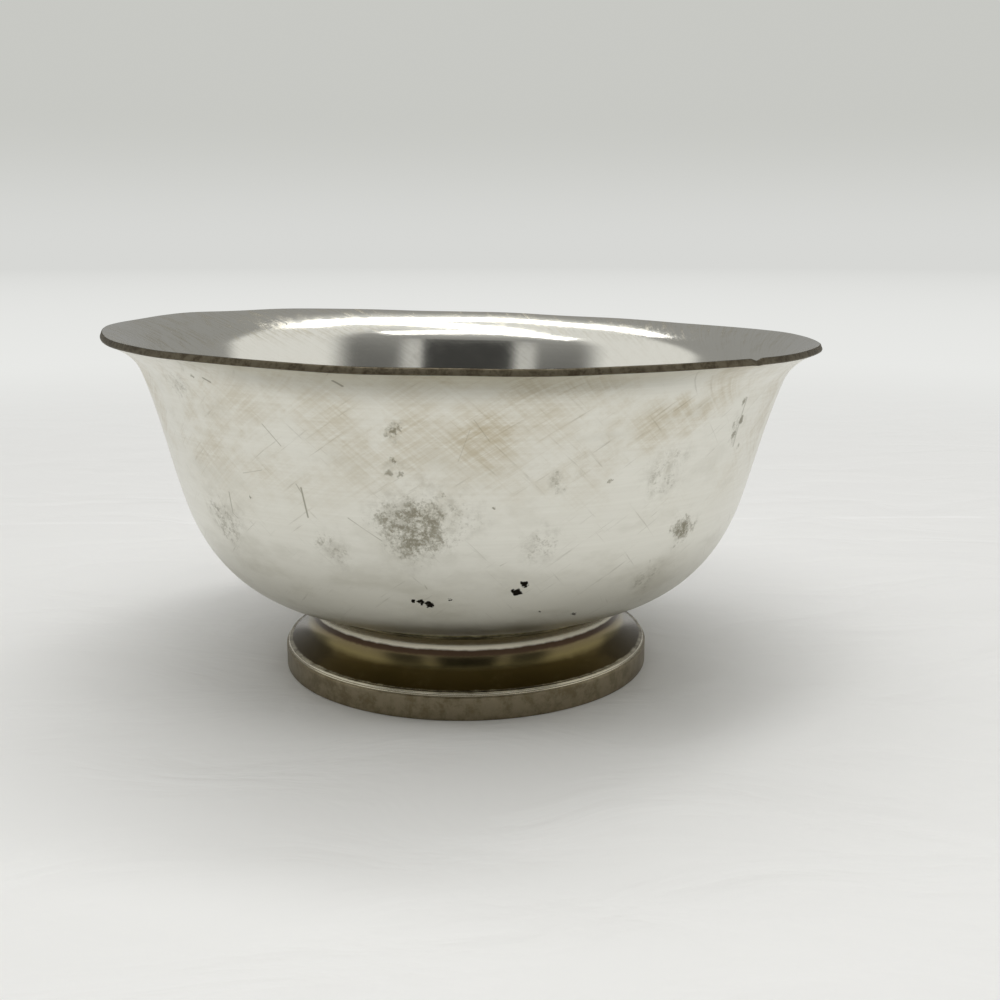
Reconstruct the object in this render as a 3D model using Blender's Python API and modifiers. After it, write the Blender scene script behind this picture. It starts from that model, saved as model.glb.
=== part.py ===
"""Revere bowl: a spun sheet-metal bowl with a flared lip, soldered onto a spun foot ring.

Metres, +Z up. The origin is on the axis, at the level of the surface the bowl stands on.
"""
import math

import bpy
from mathutils import Vector

MM = 0.001

# Bowl, spun from one round sheet. Heights are above the table.
RIM_RADIUS = 76.0 * MM
RIM_HEIGHT = 76.3 * MM
BOWL_SHEET = 1.3 * MM
RIM_CORNER = 0.25 * MM
LIP_ANGLE = math.radians(22)
LIP_PULLS = (0.10, 0.48)

THROAT_INSET = 7.5 * MM
THROAT_DROP = 7.9 * MM
THROAT_ANGLE = math.radians(70.5)
THROAT_PULLS = (0.33, 0.32)

SIDE_RADIUS = 61.0 * MM
SIDE_HEIGHT = 39.8 * MM
SIDE_ANGLE = math.radians(73)
SIDE_PULLS = (0.40, 0.31)

TURN_RADIUS = 46.7 * MM
TURN_HEIGHT = 20.2 * MM
TURN_ANGLE = math.radians(29.5)
TURN_PULLS = (0.18, 0.30)

BOTTOM_HEIGHT = 11.6 * MM

# Foot ring, spun from thinner stock and open underneath
FOOT_RADIUS = 41.0 * MM
FOOT_SHEET = 1.2 * MM
BAND_HEIGHT = 5.0 * MM
BAND_CORNER = 0.2 * MM
BEAD_RADIUS = 0.38 * MM
BEAD_INSET = 0.85 * MM
BEAD_RISE = 0.42 * MM
BEAD_STARTS = math.radians(95)
BEAD_ENDS = math.radians(-40)
COVE_ANGLE = math.radians(32)
COVE_PULLS = (0.42, 0.36)
NECK_RADIUS = 35.0 * MM
NECK_DROP = 2.7 * MM
COLLAR_FLARE = 1.1 * MM
COLLAR_FACE = 1.8 * MM
COLLAR_ANGLE = math.radians(50)
COLLAR_PULLS = (0.35, 0.35)

# Soldered seam between the bowl's underside and the foot's collar
SEAM_HEIGHT = 1.2 * MM
SEAM_GAP = 0.3 * MM
SOLDER_INSET = 0.5 * MM
SOLDER_WIDTH = 1.5 * MM
SOLDER_BULGE = 0.25 * MM

TURN_STEPS = 72
CURVE_STEPS = 7
SHORT_CURVE_STEPS = 5
CORNER_STEPS = 3

SILVER = (0.79, 0.78, 0.75, 1.0)
FOOT_SILVER = (0.62, 0.60, 0.54, 1.0)
SOLDER_GREY = (0.24, 0.22, 0.15, 1.0)


def clear_scene():
    for item in list(bpy.data.objects):
        bpy.data.objects.remove(item, do_unlink=True)


def make_collection(name):
    collection = bpy.data.collections.new(name)
    bpy.context.scene.collection.children.link(collection)
    return collection


def make_metal(name, colour, roughness):
    material = bpy.data.materials.new(name)
    material.use_nodes = True
    shader = material.node_tree.nodes["Principled BSDF"]
    shader.inputs["Base Color"].default_value = colour
    shader.inputs["Metallic"].default_value = 1.0
    shader.inputs["Roughness"].default_value = roughness
    return material


def heading(angle):
    """Unit direction that rises outwards at this angle from level."""
    return Vector((math.cos(angle), math.sin(angle)))


def bezier(start, start_handle, end_handle, end, steps):
    """Points of one cubic curve, its start and end included."""
    points = []
    for step in range(steps + 1):
        t = step / steps
        u = 1 - t
        points.append(start * u ** 3 + start_handle * 3 * u * u * t
                      + end_handle * 3 * u * t * t + end * t ** 3)
    return points


def spun_curve(start, start_angle, end, end_angle, pulls, steps):
    """A curve running down and inwards; pulls are its handles as shares of the chord."""
    chord = (end - start).length
    return bezier(start, start - heading(start_angle) * chord * pulls[0],
                  end + heading(end_angle) * chord * pulls[1], end, steps)


def joined(*runs):
    """One point list from runs that share their end points."""
    points = list(runs[0])
    for run in runs[1:]:
        points.extend(run[1:])
    return points


def offset(points, distance):
    """The same curve, moved sideways to the left of its direction of travel."""
    moved = []
    for index, point in enumerate(points):
        before = points[max(index - 1, 0)]
        after = points[min(index + 1, len(points) - 1)]
        along = (after - before).normalized()
        moved.append(point + Vector((-along.y, along.x)) * distance)
    return moved


def rounded(before, corner, after, radius):
    """Arc points that replace a sharp corner."""
    to_before = (before - corner).normalized()
    to_after = (after - corner).normalized()
    half = to_before.angle(to_after) / 2
    start = corner + to_before * (radius / math.tan(half))
    end = corner + to_after * (radius / math.tan(half))
    centre = corner + (to_before + to_after).normalized() * (radius / math.sin(half))
    first = start - centre
    last = end - centre
    sweep = first.angle(last)
    points = []
    for step in range(CORNER_STEPS + 1):
        t = step / CORNER_STEPS
        weight_first = math.sin((1 - t) * sweep) / math.sin(sweep)
        weight_last = math.sin(t * sweep) / math.sin(sweep)
        points.append(centre + first * weight_first + last * weight_last)
    return points


def bowl_outside():
    """The bowl's outer side, from the lip's lower corner down to the axis."""
    lip = Vector((RIM_RADIUS, RIM_HEIGHT - BOWL_SHEET * math.cos(LIP_ANGLE)))
    throat = Vector((RIM_RADIUS - THROAT_INSET, RIM_HEIGHT - THROAT_DROP))
    side = Vector((SIDE_RADIUS, SIDE_HEIGHT))
    turn = Vector((TURN_RADIUS, TURN_HEIGHT))
    bottom = Vector((0.0, BOTTOM_HEIGHT))
    return joined(
        spun_curve(lip, LIP_ANGLE, throat, THROAT_ANGLE, LIP_PULLS, CURVE_STEPS),
        spun_curve(throat, THROAT_ANGLE, side, SIDE_ANGLE, THROAT_PULLS, SHORT_CURVE_STEPS),
        spun_curve(side, SIDE_ANGLE, turn, TURN_ANGLE, SIDE_PULLS, CURVE_STEPS),
        spun_curve(turn, TURN_ANGLE, bottom, 0.0, TURN_PULLS, CURVE_STEPS))


def underside_height(outside, radius):
    """Height of the bowl's outer surface at a radius inside the turn."""
    for outer, inner in zip(outside, outside[1:]):
        if inner.x <= radius <= outer.x and outer.y < SIDE_HEIGHT:
            share = (radius - inner.x) / (outer.x - inner.x)
            return inner.y + (outer.y - inner.y) * share
    return BOTTOM_HEIGHT


def bowl_outline(outside):
    """Up the inside from the axis, over the cut rim, and down the outside to the axis."""
    inside = offset(outside, -BOWL_SHEET)
    inside[0] = outside[0] + Vector((-math.sin(LIP_ANGLE), math.cos(LIP_ANGLE))) * BOWL_SHEET
    inside[-1] = Vector((0.0, BOTTOM_HEIGHT + BOWL_SHEET))
    rim_inner = rounded(inside[1], inside[0], outside[0], RIM_CORNER)
    rim_outer = rounded(inside[0], outside[0], outside[1], RIM_CORNER)
    return list(reversed(inside[1:])) + rim_inner + rim_outer + outside[1:]


def foot_outline(outside):
    """Closed section of the foot ring, down its outer side and up its hollow inside."""
    collar_radius = NECK_RADIUS + COLLAR_FLARE
    collar = Vector((collar_radius, underside_height(outside, collar_radius) - SEAM_HEIGHT))
    neck = Vector((NECK_RADIUS, collar.y - NECK_DROP))
    bead = Vector((FOOT_RADIUS - BEAD_INSET, BAND_HEIGHT + BEAD_RISE))
    cove_end = bead + Vector((-BEAD_RADIUS, BEAD_RADIUS))
    flare = spun_curve(collar, COLLAR_ANGLE, neck, math.radians(90), COLLAR_PULLS, CORNER_STEPS)
    chord = (neck - cove_end).length
    uphill = Vector((-math.cos(COVE_ANGLE), math.sin(COVE_ANGLE)))
    cove = bezier(neck, neck - Vector((0.0, chord * COVE_PULLS[0])),
                  cove_end + uphill * chord * COVE_PULLS[1], cove_end, SHORT_CURVE_STEPS)
    hollow = offset(joined(flare, cove), -FOOT_SHEET)
    inner_edge = collar.x - COLLAR_FACE
    hollow[0] = Vector((inner_edge, underside_height(outside, inner_edge) - SEAM_HEIGHT))

    bead_arc = []
    for step in range(CORNER_STEPS + 1):
        angle = BEAD_STARTS + (BEAD_ENDS - BEAD_STARTS) * step / CORNER_STEPS
        bead_arc.append(bead + heading(angle) * BEAD_RADIUS)

    band_top = Vector((FOOT_RADIUS, BAND_HEIGHT))
    band_foot = Vector((FOOT_RADIUS, 0.0))
    foot_inner = Vector((FOOT_RADIUS - FOOT_SHEET, 0.0))
    band_inner = Vector((foot_inner.x, BAND_HEIGHT - FOOT_SHEET / 2))
    groove = Vector((FOOT_RADIUS - BEAD_INSET / 2, BAND_HEIGHT))
    band = (rounded(groove, band_top, band_foot, BAND_CORNER)
            + rounded(band_top, band_foot, foot_inner, BAND_CORNER))
    outer_side = joined(flare, cove) + bead_arc + [groove] + band
    return outer_side + [foot_inner, band_inner] + list(reversed(hollow))


def solder_outline(outside):
    """Closed section of the solder, parallel to the bowl's underside, rounded outwards."""
    outer_radius = NECK_RADIUS + COLLAR_FLARE - SOLDER_INSET
    inner_radius = outer_radius - SOLDER_WIDTH
    thickness = SEAM_HEIGHT - 2 * SEAM_GAP

    def top(radius):
        return Vector((radius, underside_height(outside, radius) - SEAM_GAP))

    down = Vector((0.0, -thickness))
    bulge = top(outer_radius) + down / 2 + Vector((SOLDER_BULGE, 0.0))
    return [top(outer_radius), bulge, top(outer_radius) + down,
            top(inner_radius) + down, top(inner_radius)]


def turned(name, outline, closed, material, collection):
    """One spun piece: an outline in the XZ plane with a Screw modifier about Z."""
    edges = [(index, index + 1) for index in range(len(outline) - 1)]
    if closed:
        edges.append((len(outline) - 1, 0))
    mesh = bpy.data.meshes.new(name)
    mesh.from_pydata([(point.x, 0.0, point.y) for point in outline], edges, [])
    mesh.materials.append(material)
    piece = bpy.data.objects.new(name, mesh)
    collection.objects.link(piece)
    screw = piece.modifiers.new("spin", "SCREW")
    screw.axis = "Z"
    screw.steps = TURN_STEPS
    screw.render_steps = TURN_STEPS
    screw.use_merge_vertices = True
    screw.merge_threshold = 0.000001
    screw.use_smooth_shade = True
    return piece


def main():
    clear_scene()
    parts = make_collection("revere_bowl")
    outside = bowl_outside()
    turned("bowl_body", bowl_outline(outside), False,
           make_metal("worn_silver", SILVER, 0.28), parts)
    turned("foot_ring", foot_outline(outside), True,
           make_metal("polished_foot", FOOT_SILVER, 0.18), parts)
    turned("solder_seam", solder_outline(outside), True,
           make_metal("solder", SOLDER_GREY, 0.45), parts)


main()
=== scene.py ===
import math

import bmesh
import bpy
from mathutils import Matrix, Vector, noise
from mathutils.bvhtree import BVHTree


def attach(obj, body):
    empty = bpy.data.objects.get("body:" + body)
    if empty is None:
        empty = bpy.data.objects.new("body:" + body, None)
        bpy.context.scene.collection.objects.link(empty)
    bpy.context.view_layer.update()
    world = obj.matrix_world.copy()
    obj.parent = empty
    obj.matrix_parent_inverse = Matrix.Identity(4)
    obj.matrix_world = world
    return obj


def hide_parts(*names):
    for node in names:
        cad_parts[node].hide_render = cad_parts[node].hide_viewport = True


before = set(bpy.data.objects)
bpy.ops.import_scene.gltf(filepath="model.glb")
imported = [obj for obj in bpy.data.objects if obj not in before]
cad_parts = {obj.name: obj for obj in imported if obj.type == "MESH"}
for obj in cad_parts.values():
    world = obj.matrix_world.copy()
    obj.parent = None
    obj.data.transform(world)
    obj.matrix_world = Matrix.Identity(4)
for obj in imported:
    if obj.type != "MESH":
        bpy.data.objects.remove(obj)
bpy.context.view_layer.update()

# Lengths are in millimetres until a mesh or the camera is placed from them. The camera's clip, the
# bumps, the floor and the lamps are in metres.
mm = 0.001

cameraPlace = {
    "distance": 260.7,      # in front of the bowl's axis
    "height": 93.4,         # above the table
    "pitch": 12.42,         # degrees down
    "turn": 1.70,           # degrees to the right, which puts the bowl left of centre
    "focalPixels": 1180,
    "imagePixels": 1000,
    "sensor": 36,
    "clip": (0.01, 50),
}


def makeCamera():
    lens = bpy.data.cameras.new("viewCamera")
    lens.sensor_width = cameraPlace["sensor"]
    lens.lens = cameraPlace["sensor"] * cameraPlace["focalPixels"] / cameraPlace["imagePixels"]
    lens.clip_start, lens.clip_end = cameraPlace["clip"]
    camera = bpy.data.objects.new("viewCamera", lens)
    camera.location = Vector((0, -cameraPlace["distance"], cameraPlace["height"])) * mm
    camera.rotation_euler = (math.radians(90 - cameraPlace["pitch"]), 0,
                             -math.radians(cameraPlace["turn"]))
    bpy.context.scene.collection.objects.link(camera)
    bpy.context.scene.camera = camera
    bpy.context.view_layer.update()
    return camera


camera = makeCamera()
print("camera placed")


# Where the photograph's pixel lands on a piece, in millimetres
class Finder:
    def __init__(self, piece):
        mesh = piece.data
        self.tree = BVHTree.FromPolygons([vert.co for vert in mesh.vertices],
                                         [face.vertices for face in mesh.polygons])

    def at(self, pixel):
        half = cameraPlace["imagePixels"] / 2
        ray = Vector(((pixel[0] - half) / cameraPlace["focalPixels"],
                      (half - pixel[1]) / cameraPlace["focalPixels"], -1.0))
        ray = camera.matrix_world.to_3x3() @ ray
        return self.tree.ray_cast(camera.location, ray.normalized())[0] / mm


# Profiles: each point is a radius and a height
def heading(degrees):
    angle = math.radians(degrees)
    return Vector((math.cos(angle), math.sin(angle)))


def bezier(start, startHandle, endHandle, end, steps):
    points = []
    for step in range(steps + 1):
        t = step / steps
        u = 1 - t
        points.append(start * u ** 3 + startHandle * 3 * u * u * t
                      + endHandle * 3 * u * t * t + end * t ** 3)
    return points


def spunCurve(start, startAngle, end, endAngle, pulls, steps):
    chord = (end - start).length
    return bezier(start, start - heading(startAngle) * chord * pulls[0],
                  end + heading(endAngle) * chord * pulls[1], end, steps)


def joined(*runs):
    points = list(runs[0])
    for run in runs[1:]:
        points.extend(run[1:])
    return points


def offset(points, distance):
    moved = []
    for index, point in enumerate(points):
        along = (points[min(index + 1, len(points) - 1)] - points[max(index - 1, 0)]).normalized()
        moved.append(point + Vector((-along.y, along.x)) * distance)
    return moved


def roundedCorner(before, corner, after, radius, steps=5):
    toBefore = (before - corner).normalized()
    toAfter = (after - corner).normalized()
    half = toBefore.angle(toAfter) / 2
    centre = corner + (toBefore + toAfter).normalized() * (radius / math.sin(half))
    first = corner + toBefore * (radius / math.tan(half)) - centre
    last = corner + toAfter * (radius / math.tan(half)) - centre
    sweep = first.angle(last)
    points = []
    for step in range(steps + 1):
        t = step / steps
        points.append(centre + first * (math.sin((1 - t) * sweep) / math.sin(sweep))
                      + last * (math.sin(t * sweep) / math.sin(sweep)))
    return points


spinning = {"steps": 288, "axisWidth": 1e-6, "sharpAngle": 38}


# Turns an outline about the axis. push(place, angle) may move each point, for wear.
def spin(name, outline, closed, push=None, marks=None):
    steps = spinning["steps"]
    body = bmesh.new()
    layers = {key: body.verts.layers.float.new(key) for key in (marks or {})}
    rings = []
    for index, point in enumerate(outline):
        onAxis = point.x < spinning["axisWidth"]
        ring = []
        for step in range(1 if onAxis else steps):
            angle = 2 * math.pi * step / steps
            place = Vector((point.x * math.cos(angle), point.x * math.sin(angle), point.y))
            if push and not onAxis:
                place = push(place, angle)
            vert = body.verts.new(place * mm)
            for key, layer in layers.items():
                vert[layer] = marks[key][index]
            ring.append(vert)
        rings.append(ring)
    pairs = list(zip(rings, rings[1:]))
    if closed:
        pairs.append((rings[-1], rings[0]))
    for upper, lower in pairs:
        for step in range(steps):
            after = (step + 1) % steps
            corners = [upper[step % len(upper)], upper[after % len(upper)],
                       lower[after % len(lower)], lower[step % len(lower)]]
            # a ring on the axis is one point, so its faces are triangles
            body.faces.new(list(dict.fromkeys(corners)))
    bmesh.ops.recalc_face_normals(body, faces=body.faces)
    mesh = bpy.data.meshes.new(name)
    body.to_mesh(mesh)
    body.free()
    mesh.shade_smooth()
    mesh.set_sharp_from_angle(angle=math.radians(spinning["sharpAngle"]))
    piece = bpy.data.objects.new(name, mesh)
    bpy.context.scene.collection.objects.link(piece)
    return piece


# A socket of a finish, with sums written as sums
class Number:
    def __init__(self, finish, socket):
        self.finish = finish
        self.socket = socket

    def __add__(self, other):
        return self.finish.maths("ADD", self, other)

    def __sub__(self, other):
        return self.finish.maths("SUBTRACT", self, other)

    def __rsub__(self, other):
        return self.finish.maths("SUBTRACT", other, self)

    def __mul__(self, other):
        return self.finish.maths("MULTIPLY", self, other)

    def __truediv__(self, other):
        return self.finish.maths("DIVIDE", self, other)

    __radd__ = __add__
    __rmul__ = __mul__


class Finish:
    def __init__(self, tree):
        self.tree = tree
        tree.nodes.clear()

    def node(self, kind, settings=None, sockets=None, out=0):
        made = self.tree.nodes.new("ShaderNode" + kind)
        for key, value in (settings or {}).items():
            if key == "stops":
                self.fillRamp(made.color_ramp, value)
            else:
                setattr(made, key, value)
        for key, value in (sockets or {}).items():
            if isinstance(value, Number):
                self.tree.links.new(value.socket, made.inputs[key])
            else:
                made.inputs[key].default_value = value
        return Number(self, made.outputs[out])

    def fillRamp(self, ramp, stops):
        while len(ramp.elements) < len(stops):
            ramp.elements.new(0.5)
        for element, (position, colour) in zip(ramp.elements, stops):
            element.position = position
            element.color = (*colour, 1.0)

    def output(self, kind, shader):
        made = self.tree.nodes.new("ShaderNode" + kind)
        self.tree.links.new(shader.socket, made.inputs["Surface"])

    def maths(self, operation, *values):
        return self.node("Math", {"operation": operation}, dict(enumerate(values)))

    def vector(self, operation, *values, out=0):
        return self.node("VectorMath", {"operation": operation}, dict(enumerate(values)), out)

    def scaled(self, vector, scale):
        return self.node("VectorMath", {"operation": "SCALE"}, {0: vector, "Scale": scale})

    def colour(self, value):
        return value if isinstance(value, Number) else (*value, 1.0)

    def blend(self, share, low, high):
        return self.node("Mix", {"data_type": "RGBA", "clamp_factor": True},
                         {0: share, 6: self.colour(low), 7: self.colour(high)}, 2)

    def mixed(self, share, low, high):
        return self.node("Mix", {"clamp_factor": True}, {0: share, 2: low, 3: high})

    def step(self, value, start, end):
        return self.node("MapRange", {"interpolation_type": "SMOOTHSTEP"},
                         {"Value": value, "From Min": start, "From Max": end})

    def ranged(self, value, low, high):
        return value * (high - low) + low

    def most(self, *values):
        top = values[0]
        for value in values[1:]:
            top = self.maths("MAXIMUM", top, value)
        return top

    def noise(self, place, size, detail=4, roughness=0.55, twist=0.0, out=0):
        return self.node("TexNoise", {}, {"Vector": place, "Scale": 1 / size, "Detail": detail,
                                          "Roughness": roughness, "Distortion": twist}, out)

    # the same place, wandering by noise, which gives marks ragged edges
    def wandering(self, place, grain, reach):
        drift = self.vector("SUBTRACT", self.noise(place, *grain, out=1), (0.5, 0.5, 0.5))
        return self.vector("ADD", place, self.scaled(drift, reach))

    def parts(self, vector):
        made = self.tree.nodes.new("ShaderNodeSeparateXYZ")
        self.tree.links.new(vector.socket, made.inputs[0])
        return [Number(self, socket) for socket in made.outputs]

    def objectPlace(self, scale=1.0):
        return self.scaled(self.node("TexCoord", {}, {}, 3), scale)


def newFinish(name):
    material = bpy.data.materials.new(name)
    material.use_nodes = True
    return material, Finish(material.node_tree)


def closeMetal(finish, colour, roughness, relief, bump):
    strength, distance = bump
    normal = finish.node("Bump", {}, {"Strength": strength, "Distance": distance, "Height": relief})
    finish.output("OutputMaterial", finish.node(
        "BsdfPrincipled", {},
        {"Base Color": colour, "Roughness": roughness, "Metallic": 1.0, "Normal": normal}))


# Bowl
bowlShape = {
    "rim": (76.0, 76.3),
    "sheet": 1.3,
    "rimCorner": 0.25,
    "lipAngle": 22.0,
    "lipPulls": (0.10, 0.48),
    "throatInset": 7.5,
    "throatDrop": 7.9,
    "throatAngle": 70.5,
    "throatPulls": (0.33, 0.32),
    "side": (61.0, 39.8),
    "sideAngle": 73.0,
    "sidePulls": (0.40, 0.31),
    "turn": (46.7, 20.2),
    "turnAngle": 29.5,
    "turnPulls": (0.18, 0.30),
    "bottomHeight": 11.6,
    "curveSteps": (26, 14, 20, 20),
    "edgeShares": (0.33, 0.67),
}

# The bowl has been knocked: its rim leans to the right, ripples a little and has one nick.
bowlWear = {
    "rimTilt": 1.67,
    "rimSaddle": 0.24,
    "rimTwist": -0.45,
    "leanHeights": (42.0, 70.0),
    "rimRipple": 0.35,
    "rippleScale": 3.1,
    "ripplePlace": (4.0, 1.0, 2.0),
    "rippleLevel": 0.6,
    "sideRipple": 0.05,
    "sideScale": 0.045,
    "nickAngle": 312.5,
    "nickWidth": 1.3,
    "nickDepth": 0.45,
    "nickHeights": (74.6, 76.0),
}


def bowlOutside(shape):
    rimRadius, rimHeight = shape["rim"]
    lip = Vector((rimRadius, rimHeight - shape["sheet"] * math.cos(math.radians(shape["lipAngle"]))))
    throat = Vector((rimRadius - shape["throatInset"], rimHeight - shape["throatDrop"]))
    side = Vector(shape["side"])
    turn = Vector(shape["turn"])
    bottom = Vector((0.0, shape["bottomHeight"]))
    lipSteps, throatSteps, sideSteps, turnSteps = shape["curveSteps"]
    return joined(
        spunCurve(lip, shape["lipAngle"], throat, shape["throatAngle"], shape["lipPulls"], lipSteps),
        spunCurve(throat, shape["throatAngle"], side, shape["sideAngle"], shape["throatPulls"],
                  throatSteps),
        spunCurve(side, shape["sideAngle"], turn, shape["turnAngle"], shape["sidePulls"], sideSteps),
        spunCurve(turn, shape["turnAngle"], bottom, 0.0, shape["turnPulls"], turnSteps))


# Each outline point carries marks: is it inside the bowl, and is it on the cut edge.
def bowlOutline(shape):
    outside = bowlOutside(shape)
    inside = offset(outside, -shape["sheet"])
    lipAngle = math.radians(shape["lipAngle"])
    inside[0] = outside[0] + Vector((-math.sin(lipAngle), math.cos(lipAngle))) * shape["sheet"]
    inside[-1] = Vector((0.0, shape["bottomHeight"] + shape["sheet"]))
    innerCorner = roundedCorner(inside[1], inside[0], outside[0], shape["rimCorner"])
    outerCorner = roundedCorner(inside[0], outside[0], outside[1], shape["rimCorner"])
    edge = [innerCorner[-1].lerp(outerCorner[0], share) for share in shape["edgeShares"]]
    points = list(reversed(inside[1:])) + innerCorner + edge + outerCorner + outside[1:]
    rimStart = len(inside) - 1
    rimEnd = rimStart + len(innerCorner) + len(edge) + len(outerCorner)
    marks = {"inside": [], "cutEdge": []}
    for index in range(len(points)):
        marks["inside"].append(1.0 if index < rimStart + 2 else 0.0)
        marks["cutEdge"].append(1.0 if rimStart + 1 < index < rimEnd - 2 else 0.0)
    return points, marks


def smooth(value, start, end):
    t = min(max((value - start) / (end - start), 0.0), 1.0)
    return t * t * (3 - 2 * t)


def rimHeightChange(angle):
    return (-bowlWear["rimTilt"] * math.cos(angle) + bowlWear["rimSaddle"] * math.cos(2 * angle)
            + bowlWear["rimTwist"] * math.sin(2 * angle))


highestRim = max(rimHeightChange(math.radians(degrees)) for degrees in range(360))


def knockedBowl(place, angle):
    wear = bowlWear
    share = smooth(place.z, *wear["leanHeights"])
    outwards = Vector((math.cos(angle), math.sin(angle), 0.0))
    ripple = noise.noise(outwards * wear["rippleScale"] + Vector(wear["ripplePlace"])) - wear["rippleLevel"]
    lift = (rimHeightChange(angle) - highestRim + min(ripple, 0.0) * wear["rimRipple"]) * share
    awayFromNick = abs(math.degrees(angle) - wear["nickAngle"]) / wear["nickWidth"]
    lift -= wear["nickDepth"] * max(0.0, 1 - awayFromNick) * smooth(place.z, *wear["nickHeights"])
    swell = noise.noise(place * wear["sideScale"]) * wear["sideRipple"]
    return place + Vector((0, 0, lift)) - outwards * abs(swell)


bowlPoints, bowlMarks = bowlOutline(bowlShape)
bowl = spin("bowlShell", bowlPoints, False, knockedBowl, bowlMarks)
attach(bowl, "root")
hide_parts("bowl_body")
bowlFinder = Finder(bowl)
print("bowl shaped:", len(bowl.data.polygons), "faces")

bowlFinish = {
    "silver": (0.83, 0.82, 0.755),
    # colour of the dirt film, also used for the painted shade towards the foot
    "filmAndShade": (0.47, 0.45, 0.37),
    "warmTarnish": (0.47, 0.39, 0.24),
    "greyTarnish": (0.17, 0.15, 0.09),
    "bareChip": (0.012, 0.009, 0.006),
    "insideSilver": (0.84, 0.83, 0.77),
    "insideTarnish": (0.60, 0.56, 0.45),
    "cutEdge": (0.15, 0.13, 0.09),
    "cutEdgeDark": (0.07, 0.055, 0.035),
    "sideRoughness": (0.26, 0.40),
    "insideRoughness": (0.07, 0.16),
    "cutEdgeRoughness": 0.5,
    "chipRoughness": 0.7,
    "bump": (0.25, 0.00005),
    # grain size in mm, detail, roughness
    "wander": (5, 5, 0.65),
    "fineWander": (0.9, 3, 0.7),
    "cloudy": (16, 6, 0.6),
    "mottled": (3.2, 6, 0.7),
    "specks": (0.7, 5, 0.75),
    "grains": (1.7, 5, 0.8),
    "patchy": (9, 3, 0.6),
    "filmGrain": (10, 5, 0.6),
    "filmStretch": (0.6, 0.6, 1.5),
    "spinLines": (1, 5, 0.65),
    "spinStretch": (0.05, 0.05, 1.6),
    "rubs": (1, 3, 0.6),
    "wanderReach": 9.0,
    "fineReach": 2.6,
    # how far marks of each kind fade from their rim to their middle
    "warmFade": 0.85,
    "greyFade": 0.75,
    "dotFade": 0.6,
    "chipFade": 0.15,
    # pixel on the photograph, radius in mm, strength
    "warmPatches": {
        "leftShoulder": ((240, 400), 9, 0.55), "leftMiddle": ((330, 415), 11, 0.6),
        "middle": ((410, 400), 9, 0.5), "centre": ((482, 440), 12, 0.95),
        "centreRight": ((545, 415), 10, 0.6), "right": ((655, 425), 8, 0.7),
        "rightSpot": ((683, 408), 4.5, 0.8), "rightEdge": ((707, 410), 4, 0.7),
    },
    "greyPatches": {
        "upperMark": ((393, 432), 2.6, 0.75), "midMark": ((396, 466), 3, 0.5),
        "midMarkRight": ((424, 470), 2.2, 0.35), "rightStreak": ((738, 422), 3.6, 0.7),
        "rightStreakLow": ((733, 438), 3, 0.6), "rightBlotch": ((684, 530), 6, 1.0),
        "rightLow": ((645, 578), 6, 0.65), "speckled": ((415, 528), 12, 0.95),
        "speckledRight": ((452, 520), 8, 0.6), "leftLow": ((335, 549), 6, 0.7),
        "leftSide": ((225, 520), 9, 0.75), "smallRing": ((558, 478), 3, 0.7),
        "smallSpot": ((582, 472), 2, 0.5), "lowSpeckle": ((540, 545), 7, 0.62),
        "leftTop": ((178, 385), 6, 0.7), "rightSpeckle": ((665, 475), 9, 0.62),
    },
    "dots": {
        "leftDot": ((251, 498), 0.45, 0.9), "middleDot": ((493, 508), 0.45, 0.9),
        "rightDot": ((610, 481), 0.4, 0.7), "upperDot": ((393, 431), 0.9, 0.9),
        "upperDotRight": ((399, 429), 0.7, 0.8), "midDot": ((394, 461), 0.8, 0.8),
        "midDotLow": ((389, 473), 0.8, 0.7), "midDotRight": ((400, 475), 0.7, 0.7),
        "edgeDot": ((744, 402), 1.1, 0.8), "edgeDotLow": ((741, 420), 1.2, 0.9),
        "edgeDotLast": ((734, 434), 1.1, 0.8), "edgeDotMid": ((738, 446), 0.7, 0.6),
        "rightPatchDot": ((683, 528), 1.2, 0.6), "shoulderDot": ((192, 376), 0.7, 0.8),
    },
    "chips": {
        "chipLeft": ((413, 601), 0.55, 1.0), "chipLeftLong": ((421, 602), 0.75, 1.0),
        "chipLeftEnd": ((429, 604), 0.9, 1.0), "chipMiddle": ((449, 600), 0.4, 1.0),
        "chipRight": ((517, 592), 1.0, 1.0), "chipRightTop": ((524, 584), 0.85, 1.0),
        "chipLow": ((540, 611), 0.4, 1.0), "chipLowRight": ((574, 614), 0.6, 1.0),
    },
    # two pixels, width in mm, strength
    "scratches": {
        "hookUpper": ((229, 492), (233, 513), 0.22, 0.6), "hookLower": ((233, 513), (238, 518), 0.2, 0.5),
        "dash": ((301, 488), (308, 517), 0.28, 0.75), "dashTail": ((296, 484), (303, 495), 0.18, 0.5),
        "long": ((404, 545), (427, 589), 0.16, 0.5), "slant": ((348, 518), (382, 541), 0.16, 0.5),
        "slantUpper": ((262, 424), (281, 446), 0.16, 0.5), "leftFine": ((243, 473), (262, 470), 0.12, 0.4),
        "topDash": ((333, 381), (342, 386), 0.45, 0.8), "topDashLeft": ((203, 378), (210, 382), 0.4, 0.8),
        "rightFine": ((500, 566), (545, 540), 0.12, 0.4), "rightCurl": ((686, 514), (688, 530), 0.3, 0.5),
        "middleFine": ((474, 420), (490, 442), 0.13, 0.3),
        "middleFineTwo": ((458, 462), (470, 430), 0.12, 0.25),
        "lowRight": ((640, 600), (650, 560), 0.2, 0.35), "edgeRight": ((747, 398), (733, 446), 0.35, 0.45),
    },
}


def patchMask(finish, place, patches, fade):
    masks = []
    for pixel, radius, strength in patches.values():
        away = finish.vector("DISTANCE", place, bowlFinder.at(pixel), out=1)
        masks.append(finish.step(away, radius, radius * (1 - fade)) * strength)
    return finish.most(*masks)


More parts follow.
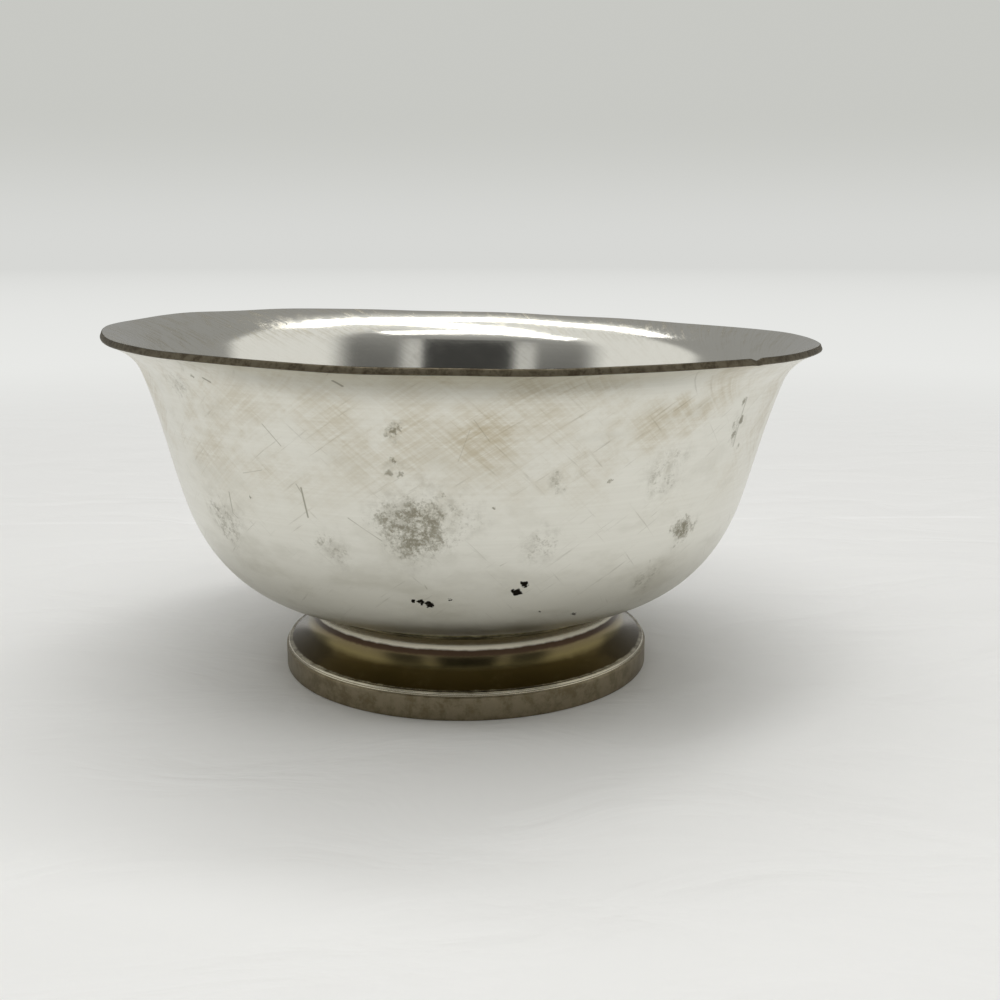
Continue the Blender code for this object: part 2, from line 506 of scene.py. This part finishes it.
def scratchMask(finish, place, scratches):
    masks = []
    for startPixel, endPixel, width, strength in scratches.values():
        start, end = bowlFinder.at(startPixel), bowlFinder.at(endPixel)
        along = end - start
        fromStart = finish.vector("SUBTRACT", place, start)
        share = finish.vector("DOT_PRODUCT", fromStart, along / along.length_squared, out=1)
        nearest = finish.scaled(along, finish.node("Clamp", {}, {0: share}))
        away = finish.vector("DISTANCE", fromStart, nearest, out=1)
        masks.append(finish.step(away, width, width * 0.2) * strength)
    return finish.most(*masks)


# Two fields of slanting rubbing marks. They run round the bowl, and their join is at the back.
def rubbingMarks(finish, place, grain):
    x, y, z = finish.parts(place)
    around = finish.maths("ARCTAN2", x, y * -1) * 64
    falling = around * 0.70 + z * 0.72
    rising = around * 0.55 - z * 0.84
    across = finish.node("CombineXYZ", {}, {0: falling * 0.09, 1: rising * 1.9, 2: z * 0.01})
    along = finish.node("CombineXYZ", {}, {0: rising * 0.07, 1: falling * 1.7, 2: z * 0.01})
    return finish.noise(across, *grain), finish.noise(along, *grain)


def makeBowlFinish():
    values = bowlFinish
    material, finish = newFinish("wornSilver")
    place = finish.objectPlace(1 / mm)
    z = finish.parts(place)[2]
    inside = finish.node("Attribute", {"attribute_name": "inside"}, {}, 2)
    cutEdge = finish.node("Attribute", {"attribute_name": "cutEdge"}, {}, 2)
    ragged = finish.wandering(place, values["wander"], values["wanderReach"])
    chipped = finish.wandering(place, values["fineWander"], values["fineReach"])
    cloudy = finish.noise(place, *values["cloudy"])
    mottled = finish.noise(place, *values["mottled"])
    specks = finish.noise(place, *values["specks"])
    grains = finish.noise(place, *values["grains"])
    patchy = finish.noise(place, *values["patchy"])
    lines = finish.noise(finish.vector("MULTIPLY", place, values["spinStretch"]), *values["spinLines"])
    rubs, crossRubs = rubbingMarks(finish, place, values["rubs"])

    # brown tarnish, mostly on the upper half
    warm = finish.step(cloudy + mottled * 0.35, 0.56, 0.86) * finish.step(z, 38, 64) * 0.7
    warm = finish.most(warm, patchMask(finish, ragged, values["warmPatches"], values["warmFade"]))
    warm = warm * finish.step(rubs * 0.6 + crossRubs * 0.5 + lines * 0.35, 0.42, 0.92)

    # grey speckles, dots, scratches and worn streaks
    clusters = patchMask(finish, ragged, values["greyPatches"], values["greyFade"])
    speckles = finish.step(grains * 0.7 + specks * 0.4 + clusters * 0.32, 0.70, 0.92)
    smudges = clusters * finish.step(mottled, 0.42, 0.7) * 0.5
    dots = patchMask(finish, chipped, values["dots"], values["dotFade"])
    scratches = scratchMask(finish, place, values["scratches"])
    streaks = finish.most(finish.step(rubs, 0.60, 0.74), finish.step(crossRubs, 0.62, 0.76))
    worn = streaks * finish.step(patchy, 0.42, 0.62) * 0.34
    grime = finish.most(speckles * finish.most(clusters, 0.32), smudges, dots, scratches, worn)

    # chips where the plate has gone
    chips = finish.step(patchMask(finish, chipped, values["chips"], values["chipFade"]), 0.35, 0.65)

    # a thin film of dirt, and painted shade that darkens the belly towards the foot
    filmAndShade = finish.noise(finish.vector("MULTIPLY", place, values["filmStretch"]), *values["filmGrain"])
    filmAndShade = finish.step(filmAndShade, 0.42, 0.70) * 0.30 + finish.step(z, 44, 24) * 0.50

    # the film colour tints the spin lines, the dirt film and the painted shade towards the foot
    colour = finish.blend(finish.most(lines * 0.30, filmAndShade), values["silver"], values["filmAndShade"])
    colour = finish.blend(warm * 0.75, colour, values["warmTarnish"])
    colour = finish.blend(grime * 0.8, colour, values["greyTarnish"])
    lip = finish.step(z, 66, 72)
    insideGrime = finish.step(mottled * 0.5 + rubs * 0.6, 0.48, 0.72) * finish.ranged(lip, 0.10, 0.80)
    insideColour = finish.blend(insideGrime, values["insideSilver"], values["insideTarnish"])
    colour = finish.blend(inside, colour, insideColour)
    colour = finish.blend(chips * (1 - inside), colour, values["bareChip"])
    edgeColour = finish.blend(finish.step(grains, 0.4, 0.65), values["cutEdge"], values["cutEdgeDark"])
    colour = finish.blend(cutEdge, colour, edgeColour)

    sideRoughness = finish.ranged(mottled, *values["sideRoughness"]) + grime * 0.12 + warm * 0.05
    insideRoughness = finish.ranged(mottled, *values["insideRoughness"]) + insideGrime * 0.22
    roughness = finish.mixed(inside, sideRoughness, insideRoughness)
    roughness = finish.most(roughness, cutEdge * values["cutEdgeRoughness"],
                            chips * values["chipRoughness"])

    relief = lines * 0.5 + specks * 0.2 + rubs * 0.4 - chips * 2.0 - scratches * 0.8
    closeMetal(finish, colour, roughness, relief, values["bump"])
    return material


bowl.data.materials.append(makeBowlFinish())
print("bowl finished")

# Foot ring
footShape = {
    "radius": 41.0,
    "sheet": 1.2,
    "bandHeight": 5.0,
    "bandCorner": 0.3,
    "bandSteps": 6,
    "beadRadius": 0.38,
    "beadInset": 0.85,
    "beadRise": 0.42,
    "beadSweep": (95, -40),
    "beadSteps": 8,
    "coveAngle": 32.0,
    "covePulls": (0.42, 0.36),
    "coveSteps": 26,
    "neckRadius": 35.0,
    "neckDrop": 2.7,
    "collarFlare": 1.1,
    "collarFace": 1.8,
    "collarAngle": 50.0,
    "collarPulls": (0.35, 0.35),
    "collarSteps": 10,
    "seamHeight": 1.2,
}


def undersideHeight(radius):
    outside = bowlOutside(bowlShape)
    for outer, inner in zip(outside, outside[1:]):
        if inner.x <= radius <= outer.x and outer.y < bowlShape["side"][1]:
            return inner.y + (outer.y - inner.y) * (radius - inner.x) / (outer.x - inner.x)
    return bowlShape["bottomHeight"]


def footOutline(shape):
    collarRadius = shape["neckRadius"] + shape["collarFlare"]
    collar = Vector((collarRadius, undersideHeight(collarRadius) - shape["seamHeight"]))
    neck = Vector((shape["neckRadius"], collar.y - shape["neckDrop"]))
    bead = Vector((shape["radius"] - shape["beadInset"], shape["bandHeight"] + shape["beadRise"]))
    coveEnd = bead + Vector((-shape["beadRadius"], shape["beadRadius"]))
    flare = spunCurve(collar, shape["collarAngle"], neck, 90, shape["collarPulls"], shape["collarSteps"])
    chord = (neck - coveEnd).length
    coveAngle = math.radians(shape["coveAngle"])
    uphill = Vector((-math.cos(coveAngle), math.sin(coveAngle)))
    cove = bezier(neck, neck - Vector((0.0, chord * shape["covePulls"][0])),
                  coveEnd + uphill * chord * shape["covePulls"][1], coveEnd, shape["coveSteps"])
    hollow = offset(joined(flare, cove), -shape["sheet"])
    innerEdge = collar.x - shape["collarFace"]
    hollow[0] = Vector((innerEdge, undersideHeight(innerEdge) - shape["seamHeight"]))
    first, last = shape["beadSweep"]
    beadArc = []
    for step in range(shape["beadSteps"] + 1):
        angle = first + (last - first) * step / shape["beadSteps"]
        beadArc.append(bead + heading(angle) * shape["beadRadius"])
    bandTop = Vector((shape["radius"], shape["bandHeight"]))
    bandFoot = Vector((shape["radius"], 0.0))
    footInner = Vector((shape["radius"] - shape["sheet"], 0.0))
    bandInner = Vector((footInner.x, shape["bandHeight"] - shape["sheet"] / 2))
    groove = Vector((shape["radius"] - shape["beadInset"] / 2, shape["bandHeight"]))
    topCorner = roundedCorner(groove, bandTop, bandFoot, shape["bandCorner"])
    footCorner = roundedCorner(bandTop, bandFoot, footInner, shape["bandCorner"])
    band = [topCorner[-1].lerp(footCorner[0], step / shape["bandSteps"])
            for step in range(1, shape["bandSteps"])]
    return (joined(flare, cove) + beadArc + [groove] + topCorner + band + footCorner
            + [footInner, bandInner] + list(reversed(hollow)))


foot = spin("footRing", footOutline(footShape), True)
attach(foot, "root")
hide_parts("foot_ring")
print("foot shaped:", len(foot.data.polygons), "faces")

footFinish = {
    # height in mm, colour: polished bead painted lighter as a highlight, brown cove, paler cove, darker
    # line of painted shade on the neck, clean neck
    "tarnishAndPaintedLightRings": (
        (5.70, (0.58, 0.54, 0.43)), (5.95, (0.062, 0.043, 0.013)), (8.60, (0.066, 0.048, 0.016)),
        (9.70, (0.185, 0.15, 0.065)), (11.10, (0.17, 0.135, 0.07)), (11.65, (0.060, 0.038, 0.024)),
        (12.55, (0.060, 0.038, 0.024)), (13.00, (0.78, 0.74, 0.62)),
    ),
    "ringSpan": (4.0, 16.0),
    "ringWobble": 0.7,
    "coveWorn": (0.15, 0.12, 0.06),
    "coveHeights": (12.2, 11.0),
    "band": (0.185, 0.15, 0.09),
    "bandWorn": (0.27, 0.23, 0.155),
    "bandHeights": (5.15, 4.9),
    "bandRoughness": (0.3, 0.46),
    "coveRoughness": (0.15, 0.26),
    "bump": (0.25, 0.00005),
    # grain size in mm, detail, roughness
    "mottled": (3.0, 6, 0.7),
    "specks": (0.5, 4, 0.7),
    "spinLines": (1, 5, 0.65),
    "spinStretch": (0.05, 0.05, 2.0),
}


def makeFootFinish():
    values = footFinish
    material, finish = newFinish("polishedFoot")
    place = finish.objectPlace(1 / mm)
    z = finish.parts(place)[2]
    mottled = finish.noise(place, *values["mottled"])
    specks = finish.noise(place, *values["specks"])
    lines = finish.noise(finish.vector("MULTIPLY", place, values["spinStretch"]), *values["spinLines"])
    low, high = values["ringSpan"]
    stops = [((height - low) / (high - low), colour) for height, colour in values["tarnishAndPaintedLightRings"]]
    wobble = (mottled - 0.5) * values["ringWobble"]
    # the rings are brown tarnish with painted light: a painted highlight on the bead and a line of painted
    # shade on the neck
    rings = finish.node("ValToRGB", {"stops": stops}, {0: (z + wobble - low) / (high - low)})
    cove = finish.step(z, *values["coveHeights"])
    colour = finish.blend(cove * finish.step(mottled, 0.5, 0.8) * 0.35, rings, values["coveWorn"])
    band = finish.step(z, *values["bandHeights"])
    bandColour = finish.blend(finish.step(mottled, 0.38, 0.62), values["band"], values["bandWorn"])
    colour = finish.blend(band, colour, bandColour)
    roughness = finish.most(finish.ranged(mottled, *values["coveRoughness"]),
                            band * finish.ranged(mottled, *values["bandRoughness"]))
    relief = lines * 0.4 + specks * band * 0.8
    closeMetal(finish, colour, roughness, relief, values["bump"])
    return material


foot.data.materials.append(makeFootFinish())
print("foot finished")

# The solder keeps its CAD mesh and gets a finish of its own.
solderFinish = {
    "clean": (0.42, 0.39, 0.26),
    "dull": (0.16, 0.14, 0.08),
    "roughness": (0.3, 0.55),
    "lumps": (1.2, 5, 0.7),
    "bump": (0.5, 0.0001),
}


def makeSolderFinish():
    values = solderFinish
    material, finish = newFinish("dullSolder")
    lumps = finish.noise(finish.objectPlace(1 / mm), *values["lumps"])
    colour = finish.blend(finish.step(lumps, 0.35, 0.7), values["dull"], values["clean"])
    closeMetal(finish, colour, finish.ranged(lumps, *values["roughness"]), lumps, values["bump"])
    return material


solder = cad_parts["solder_seam"]
solder.data.materials.clear()
solder.data.materials.append(makeSolderFinish())
print("solder finished")

# Floor: pale paper with soft creases, painted darker as shade, and one fold. Far off the floor fades into a
# glowing backdrop, painted darker towards the horizon.
paperFloor = {
    "size": 12.0,
    "paper": (0.86, 0.86, 0.85),
    # paper colour along the creases, as painted shade
    "creaseShade": (0.80, 0.80, 0.785),
    "fold": (1.0, 1.0, 1.0),
    "foldPlace": 0.131,
    "foldWaver": 0.004,
    "foldEdge": (0.0022, 0.0004),
    "roughness": 0.55,
    "fadeDistances": (0.16, 0.75),
    "backdropLow": (0.845, 0.85, 0.83),
    "backdropHorizon": (0.68, 0.685, 0.665),
    "horizonShare": 0.25,
    "horizonPower": 0.85,
    "bump": (0.5, 0.003),
}


def makeFloor():
    values = paperFloor
    bpy.ops.mesh.primitive_plane_add(size=values["size"])
    floor = bpy.context.object
    floor.name = "paperFloor"
    material, finish = newFinish("palePaper")
    where = finish.node("TexCoord", {}, {}, 3)
    x, y = finish.parts(where)[:2]
    warped = finish.vector("MULTIPLY_ADD", finish.noise(where, 0.09, 2, 0.5, out=1),
                           (0.05, 0.05, 0.0), where)
    creases = finish.noise(finish.vector("MULTIPLY", warped, (0.7, 1.6, 1.0)), 0.035, 4, 0.5, 0.8)
    fromFold = finish.maths("ABSOLUTE", y - values["foldPlace"] - (creases - 0.5) * values["foldWaver"])
    fold = finish.step(fromFold, *values["foldEdge"]) * finish.step(finish.noise(where, 0.05, 2), 0.35, 0.6)
    # painted shade: the paper is darker along the creases
    colour = finish.blend(creases * 0.5, values["paper"], values["creaseShade"])
    colour = finish.blend(fold * 0.35, colour, values["fold"])
    strength, distance = values["bump"]
    bump = finish.node("Bump", {}, {"Strength": strength, "Distance": distance, "Height": creases})
    paper = finish.node("BsdfPrincipled", {}, {"Base Color": colour, "Roughness": values["roughness"],
                                               "Normal": bump})
    # painted light: far off the floor glows as a backdrop, darker towards the horizon
    away = finish.maths("SQRT", x * x + y * y)
    backdrop = finish.blend(finish.maths("POWER", away * values["horizonShare"], values["horizonPower"]),
                            values["backdropLow"], values["backdropHorizon"])
    far = finish.node("Emission", {}, {"Color": backdrop, "Strength": 1.0})
    shown = finish.node("MixShader", {}, {0: finish.step(away, *values["fadeDistances"]),
                                          1: paper, 2: far})
    finish.output("OutputMaterial", shown)
    floor.data.materials.append(material)


# World: the camera sees the backdrop, and the metal sees a pale room with a dim wall in front
room = {
    "backdropTop": (0.575, 0.58, 0.55),
    "backdropHeights": (-0.005, 0.10),
    "tint": (1.0, 0.995, 0.965),
    "side": 0.76,
    "overhead": 0.74,
    "overheadHeights": (0.55, 0.93),
    "backPaper": 0.31,
    "backPaperSides": (0.33, 0.46),
    "backPaperTop": (0.935, 0.79),
    "frontSides": (-0.40, -0.62),
    "frontLow": 0.10,
    # from this height to that one, the level above them
    "frontLevels": (((0.10, 0.40), 0.14), ((0.42, 0.62), 0.28), ((0.66, 0.84), 0.50), ((0.84, 0.94), 0.74)),
    "gap": 0.55,
    "gapSides": ((0.34, 0.39), (0.56, 0.46)),
    "gapTop": (0.66, 0.52),
    "cameraShade": 0.045,
    "cameraShadeSides": (0.37, 0.33),
    "cameraShadeTop": (0.63, 0.57),
}


def makeWorld():
    world = bpy.data.worlds.new("studioWorld")
    bpy.context.scene.world = world
    world.use_nodes = True
    finish = Finish(world.node_tree)
    x, y, z = finish.parts(finish.node("TexCoord", {}, {}, 0))
    level = finish.most(finish.maths("SQRT", x * x + y * y), 0.001)
    north = y / level
    side = finish.maths("ABSOLUTE", x / level)

    around = finish.mixed(finish.step(z, *room["overheadHeights"]), room["side"], room["overhead"])
    backPaper = finish.step(north, *room["backPaperSides"]) * finish.step(z, *room["backPaperTop"])
    around = finish.mixed(backPaper, around, room["backPaper"])
    wall = room["frontLow"]
    for heights, above in room["frontLevels"]:
        wall = finish.mixed(finish.step(z, *heights), wall, above)
    inner, outer = room["gapSides"]
    gaps = finish.step(side, *inner) * finish.step(side, *outer) * finish.step(z, *room["gapTop"])
    wall = finish.mixed(gaps, wall, room["gap"])
    shade = finish.step(side, *room["cameraShadeSides"]) * finish.step(z, *room["cameraShadeTop"])
    wall = finish.mixed(shade, wall, room["cameraShade"])
    around = finish.mixed(finish.step(north, *room["frontSides"]), around, wall)

    lit = finish.blend(around, (0, 0, 0), room["tint"])
    seen = finish.blend(finish.step(z, *room["backdropHeights"]),
                        paperFloor["backdropHorizon"], room["backdropTop"])
    rays = finish.node("LightPath")
    light = finish.node("Background", {}, {"Color": finish.blend(rays, lit, seen), "Strength": 1.0})
    finish.output("OutputWorld", light)


# name: place in metres, point aimed at, width, depth, watts
lamps = {
    "overheadFront": ((-0.04, -0.48, 1.10), (0, -0.10, 0), 1.30, 0.20, 2.7),
    "overheadMiddle": ((0.06, -0.06, 1.15), (0, 0, 0), 1.30, 0.24, 2.6),
    "overheadBack": ((0.08, 0.36, 1.10), (0, 0.05, 0), 1.30, 0.20, 2.8),
}


def makeLamps():
    for name, (place, aim, width, depth, watts) in lamps.items():
        light = bpy.data.lights.new(name, "AREA")
        light.shape = "RECTANGLE"
        light.size = width
        light.size_y = depth
        light.energy = watts
        lamp = bpy.data.objects.new(name, light)
        lamp.location = place
        lamp.rotation_euler = (Vector(aim) - Vector(place)).to_track_quat("-Z", "Y").to_euler()
        bpy.context.scene.collection.objects.link(lamp)


makeFloor()
makeWorld()
makeLamps()
bpy.context.scene.view_settings.view_transform = "Standard"
print("studio set")
